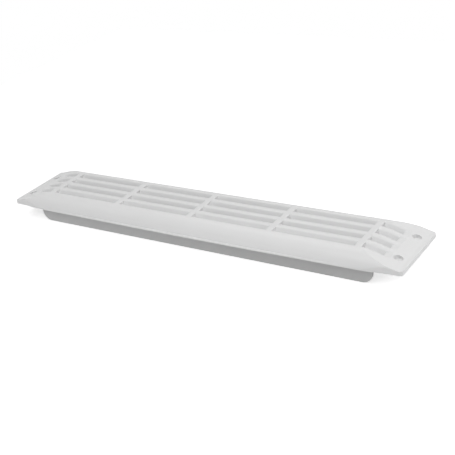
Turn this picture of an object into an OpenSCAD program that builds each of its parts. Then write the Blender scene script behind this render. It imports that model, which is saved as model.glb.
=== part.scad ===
// Louvred ventilation grille: a moulded hood over a fly screen, with two locating rails behind.
// X runs along the grille, -Y is the edge that goes uppermost on a wall and +Z points outwards.
// The origin is the middle of the four wall screws, on the plane where the hood meets the wall.

/* [Hood] */
// Height of the hood over the wall
hood_h = 13.5; // [11:0.5:15]
// Width of the hood where its crowned long sides meet the lip
hood_w = 76.8; // [74:0.2:84]
// Thickness of the moulded skin
skin_t = 2.2; // [1.8:0.1:2.6]
// Slope of the two ends, in degrees
end_slope = 15; // [14:0.25:18]
// Radius of the shoulder between the flat top and a sloping end
shoulder_r = 38; // [20:1:45]

/* [Lip and tabs] */
// Thickness of the lip along the long sides
lip_t = 1.5; // [1:0.1:2]
// How far the lip bows out at the middle of the grille
lip_bow = 1.5; // [0:0.1:2.5]
// Width of the end tabs
tab_w = 72; // [66:0.5:74]
// Thickness of the end tabs
tab_t = 4; // [3:0.1:4.6]
// Flat length of an end tab, past the foot of the slope
tab_run = 3; // [2.6:0.2:6]
// Radius of the hollow between slope and tab
foot_r = 12; // [6:1:16]
// Corner radius of the tabs, in plan
corner_r = 3; // [1:0.5:6]

/* [Louvres] */
// Columns of slots on the flat top
bay_count = 4; // [2:2:6]
// Distance between the cross ribs
bay_pitch = 87; // [70:1:100]
// Width of a cross rib
rib_w = 6.2; // [5.8:0.2:8]
// Distance from the last rib's middle to the end of the cover
end_run = 44.5; // [43:0.5:50]
// Length of a slot on a sloping end, along the grille
end_slot_l = 25; // [20:0.5:25]
// Length over which a slot on a slope runs out to nothing at its lower end
slot_runout = 6; // [3:0.5:7]
// Rows of slots
row_count = 4; // [3:1:4]
// Width of a slot between two bars
slot_w = 8.2; // [7:0.1:8.4]
// Width of the bar between two slots
bar_w = 4.5; // [4:0.1:5]
// Thickness of a louvre blade
blade_t = 1.8; // [1.6:0.1:2.2]
// Angle of the blades under the face of the hood, in degrees
blade_angle = 55; // [48:1:62]
// Radius of the bend between bar and blade
nose_r = 2.4; // [2.3:0.1:3]
// Thickness of the walls round a bay of slots
bay_wall = 2; // [1.6:0.1:2.4]

/* [Wall screws] */
// Distance from a screw hole to the end of the cover
wall_hole_inset = 10.5; // [9.5:0.25:12]
// Distance between the screw holes across the grille
wall_hole_y = 37.4; // [30:0.2:44]
// Diameter of a screw hole
wall_hole_d = 4.2; // [3.2:0.1:4.6]
// Diameter of the round seat for a screw head
wall_head_d = 7.5; // [6.4:0.1:8]
// Height of the screw's seat over the wall
wall_seat_z = 3.2; // [2.6:0.1:3.6]

/* [Fly screen] */
// Thickness of the mesh
mesh_t = 0.7; // [0.5:0.1:1]
// Distance between the strands of the mesh
mesh_pitch = 8.7; // [6.4:0.1:9.5]
// Width of a strand
strand_w = 1.4; // [1:0.1:2]
// Thickness of the frame under the mesh
frame_t = 2; // [1.6:0.1:2.4]
// Width of the frame's bars
frame_bar = 5.7; // [4:0.1:6.2]
// Height of the mesh's upper face over the wall
mesh_z = 3.7; // [3.6:0.1:3.9]

/* [Rails] */
// Distance from a rail's end to the end of the cover
rail_inset = 30; // [24:0.5:34]
// Width over the outer faces of both rails
rail_span = 57.8; // [55.5:0.1:60]
// Depth of the rails behind the wall's face
rail_depth = 17.4; // [12:0.2:24]
// Thickness of a rail
rail_t = 2.2; // [1.8:0.1:2.6]
// Radius of a rail's lower corners
rail_r = 10; // [4:0.5:12]
// Width of a rail's inner leg, from the rail's outer face
leg_w = 12; // [11.6:0.1:15]

/* [Frame screws] */
// Outside diameter of the thread
screw_d = 2.9; // [2.5:0.1:3.2]
// Length of a screw under its head
screw_l = 9.5; // [8:0.5:10]
// Diameter of a screw's head
head_d = 5.6; // [4.8:0.1:6]
// Height of a screw's head
head_h = 1.7; // [1.4:0.1:2.2]
// Diameter of the bosses that take the screws
boss_d = 5.6; // [5:0.1:6]
// Clearance round a screw in the pieces that it clamps
screw_gap = 0.25; // [0.15:0.05:0.4]

/* [Hidden] */

// Room round the screen and its frame inside the hood
screen_gap = 0.5;
// Room round a thread in its boss, and left over the screw's point
thread_gap = 0.05;
point_room = 0.8;
// Room between a screw's head and the free edge of the rail's leg
head_room = 0.6;
// How deep the ends of a blade sit in the walls that carry them
blade_root = 1;
// How far the sloping part of a louvre laps into its flat part
slope_lap = 0.4;
// How far the blades end over the mesh
blade_gap = 0.8;
// How far a cutting shape runs past the face that it cuts
past = 1;
// Steps round an arc of an outline
arc_steps = 8;
bow_steps = 16;
taper_steps = 6;
screw_steps = 24;
$fn = 48;

// Along the grille
last_rib_x = bay_count * bay_pitch / 2;
end_x = last_rib_x + end_run;
end_slot_x0 = last_rib_x + rib_w / 2;
end_slot_x1 = end_slot_x0 + end_slot_l;
slope_foot_x = end_x - tab_run;
slope_top_x = slope_foot_x - (hood_h - tab_t) / tan(end_slope);
slot_end_z = hood_h - (end_slot_x1 - slope_top_x) * tan(end_slope);
wall_hole_x = 2 * (end_x - wall_hole_inset);
rail_l = 2 * (end_x - rail_inset);
screen_l = 2 * (end_slot_x1 - screen_gap);

// Across the grille
row_pitch = slot_w + bar_w;
field_w = row_count * slot_w + (row_count - 1) * bar_w;
screen_w = field_w + 2 * bay_wall;

// The crown of a long side is one arc from the outermost slot's edge down to the lip
crown_angle = 2 * atan((hood_h - lip_t) / ((hood_w - field_w) / 2));
crown_r = (hood_w - field_w) / 2 / sin(crown_angle);

// Up and down
frame_z = mesh_z - mesh_t - frame_t;
leg_z = frame_z - rail_t;
blade_end_z = mesh_z + blade_gap;

// The screws stand on the ribs' middles, over the rails' inner legs
screw_y = rail_span / 2 - leg_w + head_d / 2 + head_room;
rib_xs = [for (i = [0:bay_count]) -last_rib_x + i * bay_pitch];
screw_points = [for (x = rib_xs, s = [-1, 1]) [x, s * screw_y]];

// Points on an arc in a plane, anticlockwise when b is larger than a
function arc_at(cx, cy, r, a, b, n) =
    [for (i = [0:n]) [cx + r * cos(a + (b - a) * i / n), cy + r * sin(a + (b - a) * i / n)]];
function mirrored(points) =
    [for (i = [len(points) - 1:-1:0]) [-points[i][0], points[i][1]]];

// One half of the hood's side view, from the wall up to the flat top, sunk by a skin's thickness
function end_view(sink, toe_x) =
    let (run = shoulder_r * tan(end_slope / 2))
    concat(
        [[toe_x, -past]],
        sink == 0 ? concat(
            [[toe_x, tab_t]],
            arc_at(slope_foot_x + foot_r * tan(end_slope / 2), tab_t + foot_r, foot_r,
                   270, 270 - end_slope, arc_steps))
        : [[toe_x, tab_t + (slope_foot_x - toe_x) * tan(end_slope) - sink / cos(end_slope)]],
        arc_at(slope_top_x - run, hood_h - shoulder_r, shoulder_r - sink,
               90 - end_slope, 90, arc_steps));

// One half of the hood's cross-section, sunk by a skin's thickness
function crown_view(sink) =
    concat(
        [[field_w / 2 + (crown_r - sink) * sin(crown_angle), -past]],
        arc_at(field_w / 2, hood_h - crown_r, crown_r - sink, 90 - crown_angle, 90, arc_steps));

// The cover's outline: rounded tab corners, a taper, and a slight bow along the middle
function tab_corner(inset) =
    let (taper_l = end_x - corner_r - end_slot_x0, step = (hood_w - tab_w) / 2)
    concat(
        arc_at(end_x - corner_r, tab_w / 2 - corner_r, corner_r - inset, 0, 90, arc_steps / 2),
        [for (i = [1:taper_steps]) let (u = i / taper_steps)
            [end_x - corner_r - taper_l * u, tab_w / 2 + step * (1 - cos(180 * u)) / 2 - inset]]);
function bow(inset) =
    [for (i = [1:bow_steps - 1]) let (u = 1 - 2 * i / bow_steps)
        [end_slot_x0 * u, hood_w / 2 + lip_bow * (1 - u * u) - inset]];

// Extrudes an outline drawn in Y and Z along X
module along_x(x0, x1) {
    translate([x0, 0, 0])
        rotate([90, 0, 90])
            linear_extrude(height = x1 - x0)
                children();
}

// Extrudes an outline drawn in X and Z right across the hood
module across_y() {
    rotate([90, 0, 0])
        linear_extrude(height = hood_w + 2 * lip_bow + 4 * past, center = true)
            children();
}

module box(x0, x1, y0, y1, z0, z1) {
    translate([x0, y0, z0])
        cube([x1 - x0, y1 - y0, z1 - z0]);
}

// The cover's outline in plan, drawn in from its edge by a given inset
module outline(inset) {
    corner = tab_corner(inset);
    upper = concat(corner, bow(inset), mirrored(corner));
    lower = [for (i = [len(upper) - 1:-1:0]) [upper[i][0], -upper[i][1]]];
    polygon(concat(upper, lower));
}

// The hood as a solid block, with its crowned sides and sloping ends
module hood_block() {
    side = crown_view(0);
    ends = end_view(0, end_x + past);
    intersection() {
        along_x(-end_x - past, end_x + past)
            polygon(concat(side, mirrored(side)));
        across_y()
            polygon(concat(ends, mirrored(ends)));
        linear_extrude(height = hood_h + past)
            outline(0);
    }
}

// The hollow under the skin
module hood_hollow() {
    side = crown_view(skin_t);
    ends = end_view(skin_t, end_slot_x1);
    intersection() {
        along_x(-end_slot_x1, end_slot_x1)
            polygon(concat(side, mirrored(side)));
        across_y()
            polygon(concat(ends, mirrored(ends)));
        translate([0, 0, -past])
            linear_extrude(height = hood_h + past)
                outline(skin_t);
    }
}

// Calls its child once for every bay of slots on the flat top, at the bay's left end
module each_bay() {
    for (i = [0:bay_count - 1])
        translate([rib_xs[i] + rib_w / 2, 0, 0])
            children();
}

// Calls its child for both ends of the cover
module both_ends() {
    children();
    mirror([1, 0, 0])
        children();
}

// The windows that the louvre blades stand in. On the slopes they run out along a level floor,
// which comes up to the hood's face at the lower end of the slots.
module windows() {
    w = field_w / 2;
    each_bay()
        box(0, bay_pitch - rib_w, -w, w, blade_end_z, hood_h + past);
    both_ends() {
        box(end_slot_x0, end_slot_x1 - slot_runout, -w, w, mesh_z, hood_h + past);
        box(end_slot_x0, end_slot_x1 + past, -w, w, slot_end_z, hood_h + past);
    }
}

// The walls that box in each bay under the skin and press on the mesh
module bay_walls() {
    w = field_w / 2;
    l = end_slot_x1 + past;
    intersection() {
        hood_block();
        union() {
            for (s = [-1, 1])
                translate([0, s * (w + bay_wall / 2), 0])
                    box(-l, l, -bay_wall / 2, bay_wall / 2, mesh_z, hood_h);
            for (x = rib_xs, s = [-1, 1])
                translate([x + s * (rib_w - bay_wall) / 2, 0, 0])
                    box(-bay_wall / 2, bay_wall / 2, -w - past, w + past, mesh_z, hood_h);
        }
    }
}

// Cross-section of one louvre: the flat bar, the bend and the blade that dips to the front
module louvre_section(edge, flat, depth) {
    bend = nose_r * tan(blade_angle / 2);
    tip = edge - depth / tan(blade_angle);
    polygon(concat(
        [[edge + flat, 0]],
        arc_at(edge + bend, -nose_r, nose_r, 90, 90 + blade_angle, arc_steps / 2),
        [[tip, -depth], [tip + blade_t / sin(blade_angle), -depth]],
        arc_at(edge + bend, -nose_r, nose_r - blade_t, 90 + blade_angle, 90, arc_steps / 2),
        [[edge + flat, -blade_t]]));
}

// A bank of louvres, one behind each slot, hung from a face at height 0
module louvre_bank(x0, x1, depth) {
    for (k = [1:row_count]) {
        edge = k * slot_w + (k - 1) * bar_w - field_w / 2;
        along_x(x0, x1)
            louvre_section(edge, k < row_count ? bar_w : bar_w / 2, depth);
    }
}

// The end bays' louvres bend with the hood, from the flat top into the slope
module end_louvres(depth) {
    w = hood_w / 2;
    bank_x0 = end_slot_x0 - blade_root;
    slope_x0 = max(bank_x0, slope_top_x - slope_lap);
    slope_l0 = (slope_x0 - slope_top_x) / cos(end_slope) - blade_root;
    slope_l1 = (end_slot_x1 - slope_top_x) / cos(end_slope) + blade_root;
    if (slope_top_x > bank_x0)
        translate([0, 0, hood_h])
            louvre_bank(bank_x0, slope_top_x, depth);
    intersection() {
        translate([slope_top_x, 0, hood_h])
            rotate([0, end_slope, 0])
                louvre_bank(slope_l0, slope_l1, depth / cos(end_slope));
        box(slope_x0, end_slot_x1 + blade_root, -w, w, blade_end_z, hood_h + past);
    }
}

module louvres() {
    depth = hood_h - blade_end_z;
    intersection() {
        hood_block();
        union() {
            each_bay()
                translate([0, 0, hood_h])
                    louvre_bank(-blade_root, bay_pitch - rib_w + blade_root, depth);
            both_ends()
                end_louvres(depth);
        }
    }
}

// Bosses inside the ribs for the frame screws
module bosses() {
    for (p = screw_points)
        translate([p[0], p[1], mesh_z])
            cylinder(d = boss_d, h = hood_h - skin_t / 2 - mesh_z);
}

module boss_bores() {
    bore_top = leg_z + screw_l + point_room;
    for (p = screw_points)
        translate([p[0], p[1], mesh_z - past])
            cylinder(d = screw_d + 2 * thread_gap, h = bore_top - mesh_z + past);
}

// A wall screw's hole, its countersink and the round seat sunk into the slope
module wall_screw_holes() {
    sink = (wall_head_d - wall_hole_d) / 2;
    for (sx = [-1, 1], sy = [-1, 1])
        translate([sx * wall_hole_x / 2, sy * wall_hole_y / 2, 0]) {
            translate([0, 0, -past])
                cylinder(d = wall_hole_d, h = tab_t + 2 * past);
            translate([0, 0, wall_seat_z - sink])
                cylinder(d1 = wall_hole_d, d2 = wall_head_d, h = sink);
            translate([0, 0, wall_seat_z])
                cylinder(d = wall_head_d, h = hood_h);
        }
}

// The outer moulding
module louvre_cover() {
    color("whitesmoke")
        difference() {
            union() {
                difference() {
                    union() {
                        hood_block();
                        linear_extrude(height = lip_t)
                            outline(0);
                    }
                    hood_hollow();
                    windows();
                }
                bay_walls();
                louvres();
                bosses();
            }
            boss_bores();
            wall_screw_holes();
        }
}

// Outline of the screen and its frame, with the screws' clearance holes
module screw_clearance() {
    for (p = screw_points)
        translate(p)
            circle(d = screw_d + 2 * screw_gap);
}

// Clear lengths between the solid bands of the screen, as pairs of X values
function screen_windows(edge) =
    concat(
        [for (i = [0:bay_count - 1]) [rib_xs[i] + rib_w / 2, rib_xs[i + 1] - rib_w / 2]],
        [[end_slot_x0, screen_l / 2 - edge]],
        [[edge - screen_l / 2, -end_slot_x0]]);

// The mesh, with solid bands under the ribs and a solid border
module insect_screen() {
    border = bay_wall + strand_w;
    clear_w = screen_w - 2 * border;
    color("gainsboro")
        translate([0, 0, mesh_z - mesh_t])
            linear_extrude(height = mesh_t)
                difference() {
                    square([screen_l, screen_w], center = true);
                    screw_clearance();
                    for (win = screen_windows(strand_w)) {
                        nx = floor((win[1] - win[0] + strand_w) / mesh_pitch);
                        ny = floor((clear_w + strand_w) / mesh_pitch);
                        px = (win[1] - win[0] + strand_w) / nx;
                        py = (clear_w + strand_w) / ny;
                        for (i = [0:nx - 1], j = [0:ny - 1])
                            translate([win[0] + i * px, -clear_w / 2 + j * py])
                                square([px - strand_w, py - strand_w]);
                    }
                }
}

// The ladder-shaped frame under the mesh
module screen_frame() {
    clear_w = rail_span - 2 * frame_bar;
    color("whitesmoke")
        translate([0, 0, frame_z])
            linear_extrude(height = frame_t)
                difference() {
                    square([screen_l, rail_span], center = true);
                    screw_clearance();
                    for (win = screen_windows(frame_bar))
                        translate([win[0], -clear_w / 2])
                            square([win[1] - win[0], clear_w]);
                }
}

// A rail seen from the front: a strip with its two lower corners rounded
module rail_outline() {
    corner = arc_at(rail_l / 2 - rail_r, rail_r - rail_depth, rail_r, -90, 0, arc_steps);
    polygon(concat(corner, [[rail_l / 2, frame_z], [-rail_l / 2, frame_z]], mirrored(corner)));
}

// One rail: the deep strip behind the wall's face and the leg that the screws clamp
module rail() {
    leg_x = end_slot_x0;
    difference() {
        union() {
            translate([0, rail_t - rail_span / 2, 0])
                rotate([90, 0, 0])
                    linear_extrude(height = rail_t)
                        rail_outline();
            box(-leg_x, leg_x, rail_t / 2 - rail_span / 2, leg_w - rail_span / 2, leg_z, frame_z);
        }
        translate([0, 0, leg_z - past])
            linear_extrude(height = rail_t + 2 * past)
                screw_clearance();
    }
}

module front_rail() {
    color("gainsboro")
        rail();
}

module rear_rail() {
    color("gainsboro")
        mirror([0, 1, 0])
            rail();
}

// A self-tapping screw with a flat-topped pan head
module frame_screw() {
    bevel = head_h / 3;
    point_l = screw_d;
    translate([0, 0, -head_h]) {
        cylinder(d1 = head_d - 2 * bevel, d2 = head_d, h = bevel);
        translate([0, 0, bevel])
            cylinder(d = head_d, h = head_h - bevel);
    }
    translate([0, 0, bevel - head_h])
        cylinder(d = screw_d, h = head_h - bevel + screw_l - point_l);
    translate([0, 0, screw_l - point_l])
        cylinder(d1 = screw_d, d2 = screw_d / 6, h = point_l);
}

module frame_screws() {
    color("silver")
        for (p = screw_points)
            translate([p[0], p[1], leg_z])
                frame_screw($fn = screw_steps);
}

louvre_cover();
insect_screen();
screen_frame();
front_rail();
rear_rail();
frame_screws();
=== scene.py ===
import math

import bmesh
import bpy
import numpy as np
from mathutils import Matrix, Vector


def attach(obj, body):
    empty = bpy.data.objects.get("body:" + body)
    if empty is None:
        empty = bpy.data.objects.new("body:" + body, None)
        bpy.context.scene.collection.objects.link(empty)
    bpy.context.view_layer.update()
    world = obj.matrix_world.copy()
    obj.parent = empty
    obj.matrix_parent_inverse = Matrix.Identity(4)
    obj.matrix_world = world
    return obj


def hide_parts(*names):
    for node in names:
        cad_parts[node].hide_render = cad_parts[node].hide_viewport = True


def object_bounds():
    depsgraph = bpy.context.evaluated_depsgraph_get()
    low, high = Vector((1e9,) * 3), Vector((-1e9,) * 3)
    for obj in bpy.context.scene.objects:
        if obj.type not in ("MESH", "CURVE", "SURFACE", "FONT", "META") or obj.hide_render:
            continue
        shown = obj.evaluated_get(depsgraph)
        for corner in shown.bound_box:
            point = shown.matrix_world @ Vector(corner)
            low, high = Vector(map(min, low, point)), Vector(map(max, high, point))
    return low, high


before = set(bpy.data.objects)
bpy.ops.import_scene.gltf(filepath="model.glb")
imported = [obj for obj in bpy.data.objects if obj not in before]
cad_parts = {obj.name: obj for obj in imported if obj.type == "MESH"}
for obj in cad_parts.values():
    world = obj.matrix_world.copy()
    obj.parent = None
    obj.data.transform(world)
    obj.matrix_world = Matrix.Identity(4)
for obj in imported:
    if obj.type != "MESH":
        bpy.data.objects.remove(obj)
cad_box = [list(corner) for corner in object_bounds()]


# The hood: one long injection-moulded shell in white plastic, with crowned sides, sloping ends and
# flat screw tabs. Its top is one grid of points that leaves out the slots; every slot and the whole
# rim have softly rounded edges, as the mould gives them. Sizes are in millimetres, meshes in metres.
MM = 0.001
HOOD_H, HOOD_W, SKIN = 13.5, 76.8, 2.2
SLOPE, SHOULDER_R, FOOT_R = math.radians(15), 38.0, 12.0
LIP_T, LIP_BOW = 1.5, 1.5
TAB_W, TAB_T, TAB_RUN, CORNER_R = 72.0, 4.0, 3.0, 3.0
BAYS, BAY_PITCH, RIB_W, END_RUN, END_SLOT = 4, 87.0, 6.2, 44.5, 25.0
ROWS, SLOT_W, BAR_W = 4, 8.2, 4.5
NOSE_R, BLADE_ANGLE = 2.4, math.radians(55)
SLOT_EDGE_R, BAR_EDGE_R, RIM_R = 0.6, 0.35, 0.5

last_rib = BAYS * BAY_PITCH / 2
end_x = last_rib + END_RUN
slot_x0 = last_rib + RIB_W / 2
slot_x1 = slot_x0 + END_SLOT
slope_x = end_x - TAB_RUN - (HOOD_H - TAB_T) / math.tan(SLOPE)
shoulder_x = slope_x - SHOULDER_R * math.tan(SLOPE / 2)
foot_x = end_x - TAB_RUN + FOOT_R * math.tan(SLOPE / 2)
row_pitch = SLOT_W + BAR_W
field = ROWS * SLOT_W + (ROWS - 1) * BAR_W
nose_run = NOSE_R * math.tan(BLADE_ANGLE / 2)
crown_angle = 2 * math.atan((HOOD_H - LIP_T) / ((HOOD_W - field) / 2))
crown_r = (HOOD_W - field) / 2 / math.sin(crown_angle)


def side_height(x, sink=0.0):
    """Height of the hood in its side view, or of its skin's underside."""
    x = abs(x)
    r = SHOULDER_R - sink
    if x <= shoulder_x:
        return HOOD_H - sink
    if x <= shoulder_x + r * math.sin(SLOPE):
        return HOOD_H - SHOULDER_R + math.sqrt(r * r - (x - shoulder_x) ** 2)
    if sink or x <= foot_x - FOOT_R * math.sin(SLOPE):
        return HOOD_H - (x - slope_x) * math.tan(SLOPE) - sink / math.cos(SLOPE)
    if x <= foot_x:
        return TAB_T + FOOT_R - math.sqrt(FOOT_R ** 2 - (foot_x - x) ** 2)
    return TAB_T


def crown_height(y, sink=0.0):
    """Height of the hood in its cross-section, or of its skin's underside."""
    over = max(0.0, abs(y) - field / 2)
    if over > (crown_r - sink) * math.sin(crown_angle):
        return 0.0 if sink else LIP_T
    return HOOD_H - crown_r + math.sqrt((crown_r - sink) ** 2 - over ** 2)


def half_width(x):
    """Half the width of the hood's outline, over its lip."""
    x = abs(x)
    if x <= slot_x0:
        return HOOD_W / 2 + LIP_BOW * (1 - (x / slot_x0) ** 2)
    part = min(1.0, (end_x - CORNER_R - x) / (end_x - CORNER_R - slot_x0))
    return TAB_W / 2 + (HOOD_W - TAB_W) / 2 * (1 - math.cos(math.pi * max(0.0, part))) / 2


def roll(d, r):
    """How far a rounded edge of radius r has dropped, d in from the edge."""
    return r - math.sqrt(r * r - (r - d) ** 2) if d < r else 0.0


# The steps between grid lines. Over a rounded edge they are parts of its radius, and over a crowned
# side parts of its width, where the first few are left out beside the slots' own lines.
EDGE_STEPS = (0.0, 0.06, 0.22, 0.5, 1.0)
CROWN_LINES, FRONT_CROWN_START, REAR_CROWN_START, CROWN_INSET = 22, 0.05, 0.12, 1.2 * RIM_R
LAST_ROW_LINE = 0.4
crown_steps = [math.sin(crown_angle * i / CROWN_LINES) / math.sin(crown_angle)
               for i in range(1, CROWN_LINES + 1)]


def side_line(step, x):
    """Where the crowned side's grid line for this step runs, out from the slots' field."""
    foot = min(HOOD_W / 2, half_width(x) - CROWN_INSET)
    return field / 2 + (foot - field / 2) * step


# Grid lines across the hood, front to rear, as (kind, value): a fixed Y in the slots' field, and in
# both sides a step of the crown or a distance in from the rim. The rear row of slots has no bar
# behind it, so it gets one line of its own, LAST_ROW_LINE inside the field.
side_rows = [("crown", s) for s in crown_steps] + [("rim", d * RIM_R) for d in reversed(EDGE_STEPS)]
field_rows = {field / 2 - LAST_ROW_LINE}
slots_y = []
for k in range(ROWS):
    front = k * row_pitch - field / 2
    nose = front + SLOT_W + nose_run
    slots_y.append((front, nose))
    field_rows.update([front, front + SLOT_W / 2, nose])
    field_rows.update(front - d * BAR_EDGE_R for d in EDGE_STEPS)
lines = [("front_" + kind, value) for kind, value in reversed(side_rows)
         if kind == "rim" or value > FRONT_CROWN_START]
lines += [("y", y) for y in sorted(field_rows)]
lines += [("rear_" + kind, value) for kind, value in side_rows
          if kind == "rim" or value > REAR_CROWN_START]


def line_y(line, x):
    """Y of a grid line at this place along the hood."""
    kind, value = line
    if kind == "y":
        return value
    y = side_line(value, x) if kind.endswith("crown") else half_width(x) - value
    return -y if kind.startswith("front") else y


# Grid lines along the hood. Those on a slope run through the points where the crowned side's
# lines meet it, so that the crease between the two follows the grid's diagonals. Spare lines fill
# the rest: wide apart on the flat top, and close from FOOT_LEAD before the foot of each slope.
COLUMN_STEP, FOOT_STEP, FOOT_LEAD, CLOSEST, PAST_SLOTS = 9.5, 0.75, 4.5, 0.5, 0.9
HALVINGS, FOOT_CLEAR, SAME_COLUMN = 40, 0.01, 1e-4
rib_xs = [-last_rib + i * BAY_PITCH for i in range(BAYS + 1)]
bays_x = [(rib_xs[i] + RIB_W / 2, rib_xs[i + 1] - RIB_W / 2) for i in range(BAYS)]
bays_x = [(-slot_x1, -slot_x0)] + bays_x + [(slot_x0, slot_x1)]
columns = []
for x0, x1 in bays_x:
    columns += [x0 - d * SLOT_EDGE_R for d in EDGE_STEPS] + [x1 + d * SLOT_EDGE_R for d in EDGE_STEPS]
columns += [s * (end_x - d * RIM_R) for d in EDGE_STEPS for s in (-1, 1)]
columns += [s * (slot_x1 + PAST_SLOTS) for s in (-1, 1)]
for step in crown_steps:
    low, high = shoulder_x, foot_x
    for _ in range(HALVINGS):
        middle = (low + high) / 2
        if side_height(middle) > crown_height(side_line(step, middle)):
            low = middle
        else:
            high = middle
    if high < foot_x - FOOT_CLEAR:
        columns += [low, -low]
last_step = int(last_rib / COLUMN_STEP)
spare = list(np.arange(-last_step, last_step + 1) * COLUMN_STEP)
spare += [s * x for s in (-1, 1) for x in np.arange(foot_x - FOOT_LEAD, end_x, FOOT_STEP)]
for x in spare:
    if min(abs(x - c) for c in columns) > CLOSEST:
        columns.append(float(x))
columns = sorted(columns)
columns = [c for i, c in enumerate(columns) if i == 0 or c - columns[i - 1] > SAME_COLUMN]

SAME, NOSE_CLEAR = 1e-6, 0.3


def in_slot(x, y):
    """Whether the point is inside a slot, and how far a rounded slot edge has dropped there."""
    drop = 0.0
    for front, nose in slots_y:
        for x0, x1 in bays_x:
            if x0 + SAME < x < x1 - SAME and front + SAME < y < nose - SAME:
                return True, 0.0
            if x0 - SAME <= x <= x1 + SAME and y <= front + SAME:
                drop = max(drop, roll(max(0.0, front - y), BAR_EDGE_R))
            ends = [x0 - x] if x0 > -slot_x1 else []
            ends += [x - x1] if x1 < slot_x1 else []
            for out in [max(0.0, end) for end in ends if end > -SAME]:
                if front - SAME <= y <= nose - NOSE_CLEAR:
                    drop = max(drop, roll(out, SLOT_EDGE_R))
                if y < front:
                    away = math.hypot(out, front - y)
                    drop = max(drop, roll(away, min(SLOT_EDGE_R, BAR_EDGE_R)))
    return False, drop


def round_corner(x, y):
    """A point of the square grid, drawn in where the tab's corner is round."""
    corner_x, corner_y = end_x - CORNER_R, half_width(x) - CORNER_R
    a, b = (abs(x) - corner_x) / CORNER_R, (abs(y) - corner_y) / CORNER_R
    if a <= 0 or b <= 0:
        return x, y
    return (math.copysign(corner_x + CORNER_R * a * math.sqrt(1 - b * b / 2), x),
            math.copysign(corner_y + CORNER_R * b * math.sqrt(1 - a * a / 2), y))


def finished_mesh(bm, name):
    """What has been drawn, as a mesh with its faces turned outwards."""
    bmesh.ops.recalc_face_normals(bm, faces=bm.faces)
    mesh = bpy.data.meshes.new(name)
    bm.to_mesh(mesh)
    bm.free()
    return mesh


HOLLOW_PAST, WELD = 0.5, 2e-6


def hood_mesh():
    """The hood as one closed skin: the grid above, the grid below, and walls round every opening."""
    nx, ny = len(columns), len(lines)
    top, under = np.zeros((nx, ny, 3)), np.zeros((nx, ny, 3))
    for i, x in enumerate(columns):
        for j, line in enumerate(lines):
            y = line_y(line, x)
            z = min(side_height(x), crown_height(y))
            rim = min(half_width(x) - abs(y), end_x - abs(x))
            z -= max(roll(max(0.0, rim), RIM_R), in_slot(x, y)[1])
            low = 0.0
            if abs(x) < slot_x1 + HOLLOW_PAST and abs(y) < half_width(x) - SKIN:
                low = max(0.0, min(side_height(x, SKIN), crown_height(y, SKIN)))
            top[i, j] = *round_corner(x, y), z
            under[i, j] = *round_corner(x, y), low
    solid = np.ones((nx - 1, ny - 1), bool)
    for i in range(nx - 1):
        for j in range(ny - 1):
            x = (columns[i] + columns[i + 1]) / 2
            y = (line_y(lines[j], x) + line_y(lines[j + 1], x)) / 2
            solid[i, j] = not in_slot(x, y)[0]
    bm = bmesh.new()
    upper = [[bm.verts.new(top[i, j] * MM) for j in range(ny)] for i in range(nx)]
    lower = [[bm.verts.new(under[i, j] * MM) for j in range(ny)] for i in range(nx)]
    for i in range(nx - 1):
        for j in range(ny - 1):
            if not solid[i, j]:
                continue
            x, y = columns[i], line_y(lines[j], columns[i])
            a, b, c, d = (i, j), (i + 1, j), (i + 1, j + 1), (i, j + 1)
            # Past the shoulder the cells of a crowned side are split, along the way the crease runs.
            if abs(x) <= shoulder_x or abs(y) <= field / 2:
                faces = [(a, b, c, d)]
            elif x * y > 0:
                faces = [(a, b, c), (a, c, d)]
            else:
                faces = [(a, b, d), (b, c, d)]
            for face in faces:
                bm.faces.new([upper[p][q] for p, q in face])
            bm.faces.new([lower[p][q] for p, q in (d, c, b, a)])

    def wall(p, q):
        """A wall down from the edge between two grid points."""
        bm.faces.new([upper[q[0]][q[1]], upper[p[0]][p[1]], lower[p[0]][p[1]], lower[q[0]][q[1]]])

    for i in range(nx - 1):
        for j in range(ny - 1):
            if not solid[i, j]:
                continue
            if j == 0 or not solid[i, j - 1]:
                wall((i, j), (i + 1, j))
            if j == ny - 2 or not solid[i, j + 1]:
                wall((i + 1, j + 1), (i, j + 1))
            if i == 0 or not solid[i - 1, j]:
                wall((i, j + 1), (i, j))
            if i == nx - 2 or not solid[i + 1, j]:
                wall((i + 1, j), (i + 1, j + 1))
    loose = [v for v in bm.verts if not v.link_faces]
    bmesh.ops.delete(bm, geom=loose, context="VERTS")
    bmesh.ops.remove_doubles(bm, verts=bm.verts, dist=WELD)
    return finished_mesh(bm, "hood")


def lathe(profile, steps):
    """A closed shape turned round Z, from (radius, height) pairs that start and end on the axis."""
    bm = bmesh.new()
    turns = [2 * math.pi * i / steps for i in range(steps)]
    rings = []
    for r, z in profile:
        if r == 0:
            rings.append([bm.verts.new((0, 0, z * MM))])
        else:
            rings.append([bm.verts.new((r * math.cos(t) * MM, r * math.sin(t) * MM, z * MM))
                          for t in turns])
    for low, high in zip(rings, rings[1:]):
        for i in range(steps):
            j = (i + 1) % steps
            loop = [low[i % len(low)], low[j % len(low)], high[j % len(high)], high[i % len(high)]]
            kept = [v for n, v in enumerate(loop) if v not in loop[:n]]
            if len(kept) > 2:
                bm.faces.new(kept)
    return finished_mesh(bm, "turned")


def new_object(name, data):
    """An object of the scene, from a mesh, a camera or a lamp."""
    piece = bpy.data.objects.new(name, data)
    bpy.context.scene.collection.objects.link(piece)
    return piece


def keep_result(piece):
    """Turns what a piece's modifiers show into its own plain mesh."""
    graph = bpy.context.evaluated_depsgraph_get()
    mesh = bpy.data.meshes.new_from_object(piece.evaluated_get(graph))
    piece.modifiers.clear()
    piece.data = mesh


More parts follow.
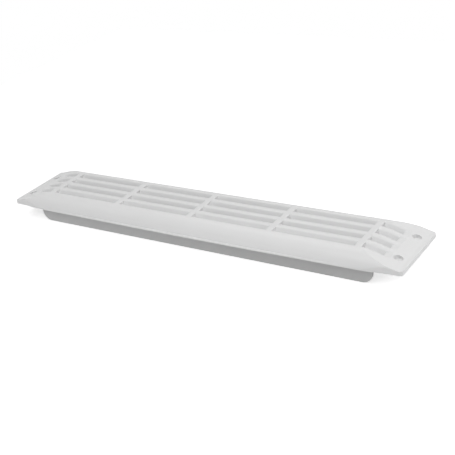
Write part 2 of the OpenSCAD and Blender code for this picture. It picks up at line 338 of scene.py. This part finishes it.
def settle(piece, smooth_angle=35.0):
    """Applies a piece's modifiers for good and shades it smooth up to the given angle."""
    keep_result(piece)
    piece.data.shade_smooth()
    piece.data.set_sharp_from_angle(angle=math.radians(smooth_angle))
    flat = piece.modifiers.new("flat faces stay flat", "WEIGHTED_NORMAL")
    flat.keep_sharp = True
    keep_result(piece)
    return piece


def moulded_plastic(name, colour, roughness, grain, grain_depth):
    """Satin plastic, a little uneven in tone, with a fine grain."""
    darkest, gloss_range = 0.985, 0.04
    material = bpy.data.materials.new(name)
    material.use_nodes = True
    nodes, links = material.node_tree.nodes, material.node_tree.links
    shader = nodes["Principled BSDF"]
    shader.inputs["IOR"].default_value = 1.49
    where = nodes.new("ShaderNodeTexCoord").outputs["Object"]
    tone = nodes.new("ShaderNodeTexNoise")
    tone.inputs["Scale"].default_value = 26.0
    tone.inputs["Detail"].default_value = 3.0
    shades = nodes.new("ShaderNodeValToRGB")
    shades.color_ramp.elements[0].position = 0.3
    shades.color_ramp.elements[1].position = 0.7
    shades.color_ramp.elements[0].color = (*[c * darkest for c in colour], 1)
    shades.color_ramp.elements[1].color = (*colour, 1)
    links.new(where, tone.inputs["Vector"])
    links.new(tone.outputs["Fac"], shades.inputs["Fac"])
    links.new(shades.outputs["Color"], shader.inputs["Base Color"])
    fine = nodes.new("ShaderNodeTexNoise")
    fine.inputs["Scale"].default_value = grain
    fine.inputs["Detail"].default_value = 2.0
    gloss = nodes.new("ShaderNodeMapRange")
    gloss.inputs["To Min"].default_value = roughness - gloss_range
    gloss.inputs["To Max"].default_value = roughness + gloss_range
    bump = nodes.new("ShaderNodeBump")
    bump.inputs["Strength"].default_value = 0.35
    bump.inputs["Distance"].default_value = grain_depth
    links.new(where, fine.inputs["Vector"])
    links.new(fine.outputs["Fac"], gloss.inputs["Value"])
    links.new(gloss.outputs["Result"], shader.inputs["Roughness"])
    links.new(fine.outputs["Fac"], bump.inputs["Height"])
    links.new(bump.outputs["Normal"], shader.inputs["Normal"])
    return material


def dress(piece, material, slot, *nodes):
    """Gives a finished piece its material, hangs it under the root and hides the solid-model parts it
    stands for.
    """
    piece.data.materials.clear()
    piece.data.materials.append(material)
    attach(piece, "root")
    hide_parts(*nodes)


cover_white = moulded_plastic("cover_white", (0.80, 0.80, 0.80), 0.36, 1400.0, 0.00003)

WALL_HOLE_INSET, WALL_HOLE_Y, WALL_HOLE_R, WALL_HEAD_R, WALL_SEAT_Z = 10.5, 37.4, 2.1, 3.75, 3.2
DRILL_LOW, FLARE_Z, FLARE, DRILL_HIGH, DRILL_FACETS = -2, 5.2, 0.5, 8, 48
hood = new_object("hood", hood_mesh())
seat = lathe([(0, DRILL_LOW), (WALL_HOLE_R, DRILL_LOW),
              (WALL_HOLE_R, WALL_SEAT_Z - WALL_HEAD_R + WALL_HOLE_R), (WALL_HEAD_R, WALL_SEAT_Z),
              (WALL_HEAD_R, FLARE_Z), (WALL_HEAD_R + FLARE, DRILL_HIGH), (0, DRILL_HIGH)], DRILL_FACETS)
drills = []
for sx in (-1, 1):
    for sy in (-1, 1):
        drill = new_object("drill", seat.copy())
        drill.data.transform(Matrix.Translation((sx * (end_x - WALL_HOLE_INSET) * MM,
                                                 sy * WALL_HOLE_Y / 2 * MM, 0)))
        hole = hood.modifiers.new("screw hole", "BOOLEAN")
        hole.object, hole.solver = drill, "EXACT"
        drills.append(drill)
settle(hood)
for drill in drills:
    bpy.data.objects.remove(drill)
dress(hood, cover_white, "cover_plastic", "louvre_cover")


# The louvre blades: moulded in one with the hood. Each bar rolls over and dips under its slot at 55
# degrees, so that rain runs off and no one sees in. A row is one strip that follows the hood's side
# view, breaks at the ribs, is thickened to 1.8 mm and is cut off level over the fly screen.
BLADE_T, BLADE_END_Z, BLADE_TRIM, BLADE_PAST, RIB_BREAK = 1.8, 4.5, 0.3, 0.8, 4.0
STATIONS, BEND_POINTS, BEND_SHARE, CUT_MARGIN = 407, 11, 0.8, 1e-6


def tree_of(name, inputs):
    """A new geometry node tree with the named inputs, the sockets they give, and its makers."""
    tree = bpy.data.node_groups.new(name, "GeometryNodeTree")
    for label, kind in inputs:
        tree.interface.new_socket(label, in_out="INPUT", socket_type=kind)
    tree.interface.new_socket("Geometry", in_out="OUTPUT", socket_type="NodeSocketGeometry")
    given = tree.nodes.new("NodeGroupInput").outputs
    result = tree.nodes.new("NodeGroupOutput").inputs[0]

    def node(kind, settings=None, **sockets):
        """A node. A socket is named with _ for a space, or by its number as i0, i1 and so on."""
        made = tree.nodes.new(kind)
        for key, value in (settings or {}).items():
            setattr(made, key, value)
        for key, value in sockets.items():
            place = made.inputs[int(key[1:]) if key[1:].isdigit() else key.replace("_", " ")]
            if isinstance(value, bpy.types.NodeSocket):
                tree.links.new(value, place)
            else:
                place.default_value = value
        return made

    def calc(operation, *values):
        """The result of a sum, from numbers or sockets."""
        return node("ShaderNodeMath", {"operation": operation},
                    **{f"i{n}": v for n, v in enumerate(values)}).outputs[0]

    def end_with(geometry):
        """Ends the tree with its geometry in its material."""
        coloured = node("GeometryNodeSetMaterial", Geometry=geometry, Material=given["Material"])
        tree.links.new(coloured.outputs[0], result)

    return tree, given, node, calc, end_with


def grow(name, tree, values):
    """An empty mesh on which a node tree runs with these inputs."""
    piece = new_object(name, bpy.data.meshes.new(name))
    made = piece.modifiers.new("grow", "NODES")
    made.node_group = tree
    for item in tree.interface.items_tree:
        if item.in_out == "INPUT" and item.name in values:
            made[item.identifier] = values[item.name]
    return piece


tree, given, node, calc, end_with = tree_of("louvre_rows", [
    ("Rows", "NodeSocketInt"), ("Row Pitch", "NodeSocketFloat"), ("First Edge", "NodeSocketFloat"),
    ("Half Length", "NodeSocketFloat"), ("Stations", "NodeSocketInt"),
    ("Top Height", "NodeSocketFloat"), ("End Height", "NodeSocketFloat"),
    ("Nose Radius", "NodeSocketFloat"), ("Blade Angle", "NodeSocketFloat"),
    ("Shoulder Start", "NodeSocketFloat"), ("Shoulder Radius", "NodeSocketFloat"),
    ("Slope Start", "NodeSocketFloat"), ("Slope Angle", "NodeSocketFloat"),
    ("Rib Pitch", "NodeSocketFloat"), ("Half Break", "NodeSocketFloat"),
    ("Material", "NodeSocketMaterial")])

# A flat sheet. Its X runs along the hood, and "along", from 0 to 1, over the nose and down the blade.
sheet = node("GeometryNodeMeshGrid", Size_X=calc("MULTIPLY", given["Half Length"], 2.0), Size_Y=1.0,
             Vertices_X=given["Stations"], Vertices_Y=BEND_POINTS)
at = node("ShaderNodeSeparateXYZ", Vector=node("GeometryNodeInputPosition").outputs[0]).outputs
x_out = calc("ABSOLUTE", at["X"])
along = calc("ADD", at["Y"], 0.5)

# The height of the hood's face at this X, as side_height gives it.
past_shoulder = calc("MAXIMUM", calc("SUBTRACT", x_out, given["Shoulder Start"]), 0.0)
arc_drop = calc("SUBTRACT", given["Shoulder Radius"], calc("SQRT", calc("MAXIMUM", 0.0, calc(
    "SUBTRACT", calc("POWER", given["Shoulder Radius"], 2.0), calc("POWER", past_shoulder, 2.0)))))
line_drop = calc("MULTIPLY", calc("SUBTRACT", x_out, given["Slope Start"]),
                 calc("TANGENT", given["Slope Angle"]))
arc_run = calc("MULTIPLY", given["Shoulder Radius"], calc("SINE", given["Slope Angle"]))
on_slope = calc("GREATER_THAN", past_shoulder, arc_run)
drop = calc("ADD", calc("MULTIPLY", on_slope, line_drop),
            calc("MULTIPLY", calc("SUBTRACT", 1.0, on_slope), arc_drop))
face_z = calc("SUBTRACT", given["Top Height"], drop)

# The nose bends over BEND_SHARE of the way, and the blade runs straight down from there.
bend = calc("MULTIPLY", calc("MINIMUM", calc("DIVIDE", along, BEND_SHARE), 1.0), given["Blade Angle"])
nose_drop = calc("MULTIPLY", given["Nose Radius"], calc("SUBTRACT", 1.0, calc("COSINE", bend)))
full_drop = calc("MULTIPLY", given["Nose Radius"],
                 calc("SUBTRACT", 1.0, calc("COSINE", given["Blade Angle"])))
down = calc("DIVIDE", calc("SUBTRACT", along, BEND_SHARE), 1.0 - BEND_SHARE)
blade_drop = calc("MULTIPLY", calc("MAXIMUM", 0.0, down),
                  calc("SUBTRACT", calc("SUBTRACT", face_z, given["End Height"]), full_drop))
start_y = calc("ADD", given["First Edge"], calc("MULTIPLY", given["Nose Radius"], calc(
    "TANGENT", calc("MULTIPLY", given["Blade Angle"], 0.5))))
nose_y = calc("SUBTRACT", start_y, calc("MULTIPLY", given["Nose Radius"], calc("SINE", bend)))
y = calc("SUBTRACT", nose_y, calc("DIVIDE", blade_drop, calc("TANGENT", given["Blade Angle"])))
z = calc("SUBTRACT", calc("SUBTRACT", face_z, nose_drop), blade_drop)
spot = node("ShaderNodeCombineXYZ", X=at["X"], Y=y, Z=z).outputs[0]
strip = node("GeometryNodeSetPosition", Geometry=sheet.outputs["Mesh"], Position=spot).outputs[0]

# The strip breaks at every rib, and one lies in each row, with its upper side out.
from_rib = calc("ABSOLUTE", calc("SUBTRACT", at["X"], calc("MULTIPLY", given["Rib Pitch"], calc(
    "ROUND", calc("DIVIDE", at["X"], given["Rib Pitch"])))))
broken = node("GeometryNodeDeleteGeometry", {"domain": "FACE"}, Geometry=strip,
              Selection=calc("LESS_THAN", from_rib, given["Half Break"])).outputs[0]
starts = node("GeometryNodeMeshLine", Count=given["Rows"],
              Offset=node("ShaderNodeCombineXYZ", Y=given["Row Pitch"]).outputs[0]).outputs[0]
laid = node("GeometryNodeInstanceOnPoints", Points=starts, Instance=broken).outputs[0]
real = node("GeometryNodeRealizeInstances", Geometry=laid).outputs[0]
end_with(node("GeometryNodeFlipFaces", Mesh=real).outputs[0])

blades = grow("louvre_blades", tree, {
    "Rows": ROWS, "Row Pitch": row_pitch * MM, "First Edge": (SLOT_W - field / 2) * MM,
    "Half Length": (slot_x1 + BLADE_PAST) * MM, "Stations": STATIONS, "Top Height": HOOD_H * MM,
    "End Height": (BLADE_END_Z - BLADE_TRIM) * MM, "Nose Radius": NOSE_R * MM,
    "Blade Angle": BLADE_ANGLE, "Shoulder Start": shoulder_x * MM, "Shoulder Radius": SHOULDER_R * MM,
    "Slope Start": slope_x * MM, "Slope Angle": SLOPE, "Rib Pitch": BAY_PITCH * MM,
    "Half Break": RIB_BREAK / 2 * MM, "Material": cover_white})
thick = blades.modifiers.new("thickness", "SOLIDIFY")
thick.thickness, thick.offset, thick.use_even_offset = BLADE_T * MM, -1.0, True
keep_result(blades)
bm = bmesh.new()
bm.from_mesh(blades.data)
cut = bmesh.ops.bisect_plane(bm, geom=bm.verts[:] + bm.edges[:] + bm.faces[:], dist=CUT_MARGIN,
                             clear_outer=True, plane_co=(0, 0, BLADE_END_Z * MM), plane_no=(0, 0, -1))
cut_edges = [part for part in cut["geom_cut"] if isinstance(part, bmesh.types.BMEdge)]
bmesh.ops.holes_fill(bm, edges=cut_edges)
blades.data = finished_mesh(bm, "louvre_blades")
settle(blades)
dress(blades, cover_white, "cover_plastic", "louvre_cover")


# The walls under the hood: one along each side of the slots and a pair under every rib, moulded in
# one with the hood. They box in the bays, hold the ends of the blades and press on the fly screen.
# On the slopes each slot runs out along a level floor, which comes up to the face at its lower end.
BAY_WALL, BAY_WALL_PAST, RIB_WALL_PAST, WALL_STEP, WALL_EDGE_R = 2.0, 0.6, 0.5, 2.0, 0.25
RUN_OUT, RUN_OUT_EDGE_R, INTO_SKIN, HIDDEN = 6.0, 0.2, 0.3, 0.05
MESH_Z, MESH_T = 3.7, 0.7


def fill_between(bm, low, high):
    """Adds the solid between two rings of as many points, with flat ends."""
    low, high = [[bm.verts.new([v * MM for v in spot]) for spot in ring] for ring in (low, high)]
    for i in range(len(low)):
        j = (i + 1) % len(low)
        bm.faces.new([low[i], low[j], high[j], high[i]])
    bm.faces.new(low)
    bm.faces.new(high)


def prism(bm, outline, axis, low, high):
    """Adds an outline in the two other axes, drawn out along X (axis 0), Y (1) or Z (2)."""
    fill_between(bm, *[[(*pair[:axis], level, *pair[axis:]) for pair in outline]
                       for level in (low, high)])


def box_outline(a0, a1, b0, b1):
    """A rectangle between two values of each axis."""
    return [(a0, b0), (a1, b0), (a1, b1), (a0, b1)]


def rounded(piece, radius, steps=2):
    """Rounds every edge of a piece at which it turns by more than 40 degrees."""
    soft = piece.modifiers.new("soft edges", "BEVEL")
    soft.width, soft.segments, soft.limit_method = radius * MM, steps, "ANGLE"
    soft.angle_limit = math.radians(40)
    return piece


bm = bmesh.new()
reach = slot_x1 + BAY_WALL_PAST
stops = np.unique(np.clip(np.arange(-reach, reach + WALL_STEP, WALL_STEP), -reach, reach))
under_skin = [(float(x), side_height(x, SKIN) + INTO_SKIN) for x in stops]
for side in (-1, 1):
    near, far = sorted((side * (field / 2 + HIDDEN), side * (field / 2 + BAY_WALL)))
    prism(bm, [(reach, MESH_Z), (-reach, MESH_Z)] + under_skin, 1, near, far)
walls = new_object("bay_walls", finished_mesh(bm, "bay_walls"))
settle(rounded(walls, WALL_EDGE_R))
dress(walls, cover_white, "cover_plastic", "louvre_cover")

bm = bmesh.new()
floor_x = slot_x1 - RUN_OUT
for side in (-1, 1):
    outline = [(floor_x, side_height(slot_x1)), (slot_x1, side_height(slot_x1)),
               (slot_x1 + HIDDEN, side_height(slot_x1 + HIDDEN)),
               (slot_x1 + HIDDEN, side_height(slot_x1 + HIDDEN, SKIN) + HIDDEN),
               (floor_x, side_height(floor_x, SKIN) + HIDDEN)]
    prism(bm, [(side * x, z) for x, z in outline], 1, -field / 2 - HIDDEN, field / 2 + HIDDEN)
run_outs = new_object("slot_run_outs", finished_mesh(bm, "slot_run_outs"))
settle(rounded(run_outs, RUN_OUT_EDGE_R))
dress(run_outs, cover_white, "cover_plastic", "louvre_cover")

tree, given, node, calc, end_with = tree_of("on_ribs", [
    ("Ribs", "NodeSocketInt"), ("Rib Pitch", "NodeSocketFloat"), ("Rows", "NodeSocketInt"),
    ("Row Gap", "NodeSocketFloat"), ("Piece", "NodeSocketObject"), ("Turn", "NodeSocketFloat"),
    ("Seed", "NodeSocketInt"), ("Material", "NodeSocketMaterial")])
run = calc("MULTIPLY", given["Rib Pitch"], calc("SUBTRACT", given["Ribs"], 1.0))
spots = node("GeometryNodeMeshGrid", Size_X=run, Size_Y=given["Row Gap"], Vertices_X=given["Ribs"],
             Vertices_Y=given["Rows"]).outputs["Mesh"]
turns = node("FunctionNodeRandomValue", {"data_type": "FLOAT_VECTOR"}, i0=(0.0, 0.0, 0.0),
             i1=node("ShaderNodeCombineXYZ", Z=given["Turn"]).outputs[0], Seed=given["Seed"]).outputs[0]
shape = node("GeometryNodeObjectInfo", Object=given["Piece"]).outputs["Geometry"]
laid = node("GeometryNodeInstanceOnPoints", Points=spots, Instance=shape, Rotation=turns).outputs[0]
end_with(node("GeometryNodeRealizeInstances", Geometry=laid).outputs[0])
on_ribs = tree


def on_every_rib(name, piece, material, rows, row_gap=0.0, turn=0.0, seed=1):
    """Sets a small piece on every rib, in one row or two, as one plain mesh, and drops the original."""
    made = grow(name, on_ribs, {
        "Ribs": BAYS + 1, "Rib Pitch": BAY_PITCH * MM, "Rows": rows, "Row Gap": row_gap * MM,
        "Piece": piece, "Turn": turn, "Seed": seed, "Material": material})
    settle(made)
    bpy.data.objects.remove(piece)
    return made


bm = bmesh.new()
half = field / 2 + RIB_WALL_PAST
for side in (-1, 1):
    near, far = sorted((side * (RIB_W / 2 - HIDDEN), side * (RIB_W / 2 - BAY_WALL)))
    prism(bm, box_outline(-half, half, MESH_Z, HOOD_H - SKIN + INTO_SKIN), 0, near, far)
pair = settle(rounded(new_object("wall_pair", finished_mesh(bm, "wall_pair")), WALL_EDGE_R))
rib_walls = on_every_rib("rib_walls", pair, cover_white, rows=1)
dress(rib_walls, cover_white, "cover_plastic", "louvre_cover")


# The screw bosses: ten plain tubes that hang from the skin inside the ribs, moulded in one with
# the hood. A screw cuts its own thread in each of them.
RAIL_SPAN, LEG_W, HEAD_D, HEAD_ROOM = 57.8, 12.0, 5.6, 0.6
BOSS_R, BORE_R, BORE_TOP, BORE_TIP, BOSS_FACETS = 2.8, 1.5, 9.1, 0.6, 40
MOUTH_CHAMFER, FOOT_CHAMFER = 0.25, 0.2
screw_y = RAIL_SPAN / 2 - LEG_W + HEAD_D / 2 + HEAD_ROOM

tube = new_object("one_boss", lathe([
    (0, BORE_TOP), (BORE_R, BORE_TOP - BORE_TIP), (BORE_R, MESH_Z + MOUTH_CHAMFER),
    (BORE_R + MOUTH_CHAMFER, MESH_Z), (BOSS_R - FOOT_CHAMFER, MESH_Z), (BOSS_R, MESH_Z + FOOT_CHAMFER),
    (BOSS_R, HOOD_H - SKIN / 2), (0, HOOD_H - SKIN / 2)], BOSS_FACETS))
bosses = on_every_rib("screw_bosses", tube, cover_white, rows=2, row_gap=2 * screw_y)
dress(bosses, cover_white, "cover_plastic", "louvre_cover")


# The fly screen: a plain weave of coated round wire, cut to size, with a bonded strip round its
# edge. Each wire rides over one cross wire and under the next, and the walls press on the strip.
WIRE_PITCH, WIRE_R, WIRE_FACETS, WIRES_ACROSS, WIRES_ALONG = 2.2, 0.175, 4, 183, 22
SCREEN_ROOM = 0.5
SCREEN_L, SCREEN_W = 2 * slot_x1 - 2 * SCREEN_ROOM, field + 2 * BAY_WALL
STRIP_W, STRIP_EDGE_R, PUNCH_LOW, PUNCH_HIGH = 2.5, 0.15, 0, 9

coated_wire = moulded_plastic("coated_wire", (0.42, 0.43, 0.44), 0.55, 900.0, 0.00002)
tree, given, node, calc, end_with = tree_of("woven_screen", [
    ("Pitch", "NodeSocketFloat"), ("Wires Along", "NodeSocketInt"), ("Wires Across", "NodeSocketInt"),
    ("Wire Radius", "NodeSocketFloat"), ("Middle Height", "NodeSocketFloat"),
    ("Material", "NodeSocketMaterial")])
pitch = given["Pitch"]
half_l = calc("MULTIPLY", calc("SUBTRACT", given["Wires Across"], 1.0), calc("MULTIPLY", pitch, 0.5))
half_w = calc("MULTIPLY", calc("SUBTRACT", given["Wires Along"], 1.0), calc("MULTIPLY", pitch, 0.5))
at = node("ShaderNodeSeparateXYZ", Vector=node("GeometryNodeInputPosition").outputs[0]).outputs
waves = [calc("COSINE", calc("MULTIPLY", math.pi, calc("DIVIDE", calc("ADD", place, half_side), pitch)))
         for place, half_side in ((at["X"], half_l), (at["Y"], half_w))]
wave = calc("MULTIPLY", *waves)
bundles = []
for axis, across, wires, others, half_run, half_spread, sign in (
        ("X", "Y", "Wires Along", "Wires Across", half_l, half_w, 1.0),
        ("Y", "X", "Wires Across", "Wires Along", half_w, half_l, -1.0)):
    joints = calc("SUBTRACT", calc("MULTIPLY", given[others], 2.0), 1.0)
    start = node("ShaderNodeCombineXYZ", **{axis: calc("MULTIPLY", half_run, -1.0)}).outputs[0]
    step = node("ShaderNodeCombineXYZ", **{axis: calc("MULTIPLY", pitch, 0.5)}).outputs[0]
    wire = node("GeometryNodeMeshLine", Count=joints, Start_Location=start, Offset=step).outputs[0]
    first = node("ShaderNodeCombineXYZ", **{across: calc("MULTIPLY", half_spread, -1.0)}).outputs[0]
    gap = node("ShaderNodeCombineXYZ", **{across: pitch}).outputs[0]
    row = node("GeometryNodeMeshLine", Count=given[wires], Start_Location=first, Offset=gap).outputs[0]
    laid = node("GeometryNodeInstanceOnPoints", Points=row, Instance=wire).outputs[0]
    real = node("GeometryNodeRealizeInstances", Geometry=laid).outputs[0]
    rise = calc("MULTIPLY", wave, calc("MULTIPLY", given["Wire Radius"], sign))
    height = calc("ADD", given["Middle Height"], rise)
    spot = node("ShaderNodeCombineXYZ", X=at["X"], Y=at["Y"], Z=height).outputs[0]
    bundles.append(node("GeometryNodeSetPosition", Geometry=real, Position=spot).outputs[0])
joined = node("GeometryNodeJoinGeometry")
for bundle in bundles:
    tree.links.new(bundle, joined.inputs[0])
paths = node("GeometryNodeMeshToCurve", Mesh=joined.outputs[0]).outputs[0]
ring = node("GeometryNodeCurvePrimitiveCircle", Resolution=WIRE_FACETS, Radius=given["Wire Radius"])
round_wire = node("GeometryNodeCurveToMesh", Curve=paths, Profile_Curve=ring.outputs[0], Fill_Caps=True)
end_with(node("GeometryNodeRealizeInstances", Geometry=round_wire.outputs[0]).outputs[0])

weave = grow("fly_screen", tree, {
    "Pitch": WIRE_PITCH * MM, "Wires Along": WIRES_ALONG, "Wires Across": WIRES_ACROSS,
    "Wire Radius": WIRE_R * MM, "Middle Height": (MESH_Z - MESH_T / 2) * MM, "Material": coated_wire})
settle(weave, smooth_angle=180.0)
dress(weave, coated_wire, "screen_mesh", "insect_screen")

half_x, half_y = SCREEN_L / 2, SCREEN_W / 2
bm = bmesh.new()
prism(bm, box_outline(-half_x, half_x, -half_y, half_y), 2, MESH_Z - MESH_T, MESH_Z)
strip = new_object("screen_strip", finished_mesh(bm, "screen_strip"))
bm = bmesh.new()
opening = box_outline(STRIP_W - half_x, half_x - STRIP_W, STRIP_W - half_y, half_y - STRIP_W)
prism(bm, opening, 2, PUNCH_LOW, PUNCH_HIGH)
punch = new_object("punch", finished_mesh(bm, "punch"))
window = strip.modifiers.new("window", "BOOLEAN")
window.object, window.solver = punch, "EXACT"
settle(rounded(strip, STRIP_EDGE_R))
bpy.data.objects.remove(punch)
dress(strip, coated_wire, "screen_mesh", "insect_screen")


# The screen frame: a flat moulded ladder that lies under the fly screen, with a bar below each rib
# and clearance holes for the screws. Its edges are a little rounded, as they come from the mould.
FRAME_EDGE_R, FLAT_WITHIN = 0.3, math.radians(0.5)


def softened(node_name, name, radius):
    """A copy of a solid of the frame, joined up from its loose triangles, with rounded edges."""
    bm = bmesh.new()
    bm.from_mesh(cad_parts[node_name].data)
    bmesh.ops.remove_doubles(bm, verts=bm.verts, dist=WELD)
    bmesh.ops.dissolve_limit(bm, angle_limit=FLAT_WITHIN, verts=bm.verts, edges=bm.edges)
    piece = new_object(name, finished_mesh(bm, name))
    return settle(rounded(piece, radius))


frame_plastic = moulded_plastic("frame_plastic", (0.72, 0.72, 0.72), 0.5, 1100.0, 0.00003)
ladder = softened("screen_frame", "frame_ladder", FRAME_EDGE_R)
dress(ladder, frame_plastic, "frame_plastic", "screen_frame")


# The two locating rails: straight strips with rounded lower corners that drop into the cut-out,
# each with an inner leg that the screws clamp under the frame. Satin white plastic, cut from one
# profile; their colour is written greyer than the cover's, as painted shade from the hood's lip.
RAIL_EDGE_R = 0.4
# Painted shade: the rails are the cover's white plastic, darkened in colour for the shade under the lip.
rail_plastic = moulded_plastic("rail_plastic", (0.64, 0.64, 0.64), 0.38, 1200.0, 0.00002)
dress(softened("front_rail", "rail_front", RAIL_EDGE_R), rail_plastic, "rail_plastic", "front_rail")
dress(softened("rear_rail", "rail_rear", RAIL_EDGE_R), rail_plastic, "rail_plastic", "rear_rail")


# The frame screws: ten stainless self-tapping screws with pan heads and cross recesses, driven up
# from behind through rail, frame and screen, each to a turn of its own. The thread is drawn as a
# row of rings, too fine to show as a helix.
HEAD_R, HEAD_H, HEAD_EDGE, SCREW_L, SCREW_FACETS = HEAD_D / 2, 1.7, 0.06, 9.5, 32
THREAD_R, CORE_R, GROOVE_Z, CREST_Z, THREAD_PITCH, THREADS = 1.45, 1.05, 0.5, 0.8, 0.6, 11
CROSS_L, CROSS_W, CROSS_TAPER, CROSS_PAST, CROSS_END_Z = 1.35, 0.32, 0.6, 0.2, -0.5
LEG_Z = -1.2

# The profile as (radius, height), from the head, which faces down, to the tip.
outline = [(0, -HEAD_H), (1.5, -HEAD_H), (2.1, -1.6), (2.5, -1.3), (2.74, -0.85), (HEAD_R, -0.4),
           (HEAD_R, -HEAD_EDGE), (HEAD_R - HEAD_EDGE, 0), (THREAD_R, 0)]
for k in range(THREADS):
    outline += [(CORE_R, GROOVE_Z + THREAD_PITCH * k), (THREAD_R, CREST_Z + THREAD_PITCH * k)]
outline += [(CORE_R, 7.1), (0.75, 8.2), (0.15, SCREW_L), (0, SCREW_L)]
screw = new_object("one_screw", lathe(outline, SCREW_FACETS))
bm = bmesh.new()
for long_side, thin_side in ((CROSS_L, CROSS_W), (CROSS_W, CROSS_L)):
    wing = box_outline(long_side, -long_side, thin_side, -thin_side)
    fill_between(bm, [(x, y, -HEAD_H - CROSS_PAST) for x, y in wing],
                 [(x * CROSS_TAPER, y * CROSS_TAPER, CROSS_END_Z) for x, y in wing])
recess = new_object("recess", finished_mesh(bm, "recess"))
cross = screw.modifiers.new("recess", "BOOLEAN")
cross.object, cross.solver, cross.use_self = recess, "EXACT", True
settle(screw)
bpy.data.objects.remove(recess)
screw.data.transform(Matrix.Translation((0, 0, LEG_Z * MM)))

stainless = bpy.data.materials.new("stainless")
stainless.use_nodes = True
nodes, links = stainless.node_tree.nodes, stainless.node_tree.links
shader = nodes["Principled BSDF"]
shader.inputs["Metallic"].default_value = 1.0
where = nodes.new("ShaderNodeTexCoord").outputs["Object"]
marks = nodes.new("ShaderNodeTexNoise")
marks.inputs["Scale"].default_value = 2500.0
marks.inputs["Detail"].default_value = 3.0
links.new(where, marks.inputs["Vector"])
for socket, low, high in (("Roughness", 0.22, 0.38), ("Base Color", 0.56, 0.68)):
    spread = nodes.new("ShaderNodeMapRange")
    spread.inputs["To Min"].default_value, spread.inputs["To Max"].default_value = low, high
    links.new(marks.outputs["Fac"], spread.inputs["Value"])
    links.new(spread.outputs["Result"], shader.inputs[socket])
screws = on_every_rib("frame_screw_set", screw, stainless, rows=2, row_gap=2 * screw_y,
                      turn=2 * math.pi, seed=7)
dress(screws, stainless, "screw_steel", "frame_screws")


# The studio: a white floor, a faint world, three broad soft lamps high in front, at the right and
# behind, which leave the left end in shade, and three small ones. Those cast the lip's shadow on the
# front rail, put a soft glint on the front ridge, and light the front side from close by.
FLOOR_HALF, FLOOR_GAP, FLOOR_GLOW, WORLD_GLOW = 0.6, 0.00005, 0.62, 0.06
# LENS is the camera's focal length in pixels of the photo, which is PHOTO pixels wide, and its angles
# are in degrees. SEEN_AT is where it sees the part's origin: right, up and away, in pitches of ribs.
LENS, PHOTO, TURN, TILT, ROLL = 925.232, 455, 37.4649, 26.8554, -8.8999
SEEN_AT = (-0.2516541, 0.10601111, 10.11574226)


def way_to(turn, rise):
    """The way out from the part to a place turned from its front towards +X and raised, in degrees."""
    turn, rise = math.radians(turn), math.radians(rise)
    return Vector((math.sin(turn) * math.cos(rise), -math.cos(turn) * math.cos(rise), math.sin(rise)))


def background_rays(nodes, links):
    """1 on the rays that show the background: the camera's own, and those off gloss or through glass."""
    rays = nodes.new("ShaderNodeLightPath").outputs
    seen = rays["Is Camera Ray"]
    for kind in ("Is Glossy Ray", "Is Transmission Ray"):
        either = nodes.new("ShaderNodeMath")
        either.operation = "MAXIMUM"
        links.new(seen, either.inputs[0])
        links.new(rays[kind], either.inputs[1])
        seen = either.outputs[0]
    return seen


def softbox(name, turn, rise, distance, size, watts):
    """A square lamp that faces the part from there. Its distance and size are in metres."""
    lamp = bpy.data.lights.new(name, "AREA")
    lamp.size, lamp.energy = size, watts
    way = way_to(turn, rise)
    facing = way.to_track_quat("Z", "Y").to_matrix().to_4x4()
    new_object(name, lamp).matrix_world = Matrix.Translation(way * distance) @ facing


back = way_to(TURN, TILT)
level_right = Vector((math.cos(math.radians(TURN)), math.sin(math.radians(TURN)), 0))
level_up = back.cross(level_right)
cos_roll, sin_roll = math.cos(math.radians(ROLL)), math.sin(math.radians(ROLL))
right = cos_roll * level_right + sin_roll * level_up
above = cos_roll * level_up - sin_roll * level_right
eye = (SEEN_AT[2] * back - SEEN_AT[0] * right - SEEN_AT[1] * above) * (BAY_PITCH * MM)
camera = new_object("camera", bpy.data.cameras.new("camera"))
camera.matrix_world = Matrix.Translation(eye) @ Matrix((right, above, back)).transposed().to_4x4()
camera.data.sensor_width = 36
camera.data.lens = camera.data.sensor_width * LENS / PHOTO
camera.data.clip_start = 0.01
bpy.context.scene.camera = camera
bpy.context.scene.view_settings.view_transform = "Standard"

floor_mesh = bpy.data.meshes.new("floor")
floor_mesh.from_pydata([(x, y, cad_box[0][2] - FLOOR_GAP) for x, y in box_outline(
    -FLOOR_HALF, FLOOR_HALF, -FLOOR_HALF, FLOOR_HALF)], [], [(0, 1, 2, 3)])
floor = new_object("floor", floor_mesh)
paper = bpy.data.materials.new("paper")
paper.use_nodes = True
nodes, links = paper.node_tree.nodes, paper.node_tree.links
matt = nodes["Principled BSDF"]
matt.inputs["Base Color"].default_value = (0.80, 0.80, 0.80, 1)
matt.inputs["Roughness"].default_value = 0.9
matt.inputs["Specular IOR Level"].default_value = 0.1
lift = nodes.new("ShaderNodeEmission")
level = nodes.new("ShaderNodeMath")
level.operation = "MULTIPLY"
level.inputs[1].default_value = FLOOR_GLOW
links.new(background_rays(nodes, links), level.inputs[0])
links.new(level.outputs[0], lift.inputs["Strength"])
both = nodes.new("ShaderNodeAddShader")
links.new(matt.outputs[0], both.inputs[0])
links.new(lift.outputs[0], both.inputs[1])
links.new(both.outputs[0], nodes["Material Output"].inputs["Surface"])
floor_mesh.materials.append(paper)

world = bpy.data.worlds.new("studio")
bpy.context.scene.world = world
world.use_nodes = True
nodes, links = world.node_tree.nodes, world.node_tree.links
sky = nodes["Background"]
sky.inputs["Color"].default_value = (1, 1, 1, 1)
glow = nodes.new("ShaderNodeMapRange")
glow.inputs["To Min"].default_value = WORLD_GLOW
glow.inputs["To Max"].default_value = 1.0
links.new(background_rays(nodes, links), glow.inputs["Value"])
links.new(glow.outputs["Result"], sky.inputs["Strength"])

softbox("top_front", 0.0, 56.0, 1.5, 0.9, 9.85)
softbox("right", 100.0, 34.0, 1.5, 0.9, 9.45)
softbox("rear", 180.0, 50.0, 1.5, 0.9, 2.3)
softbox("key", 30.0, 40.0, 1.5, 0.4, 1.0)
softbox("ridge_glint", -128.0, 58.0, 1.5, 0.5, 2.1)
softbox("near_front", -20.6, 13.2, 0.877, 0.4, 0.8)
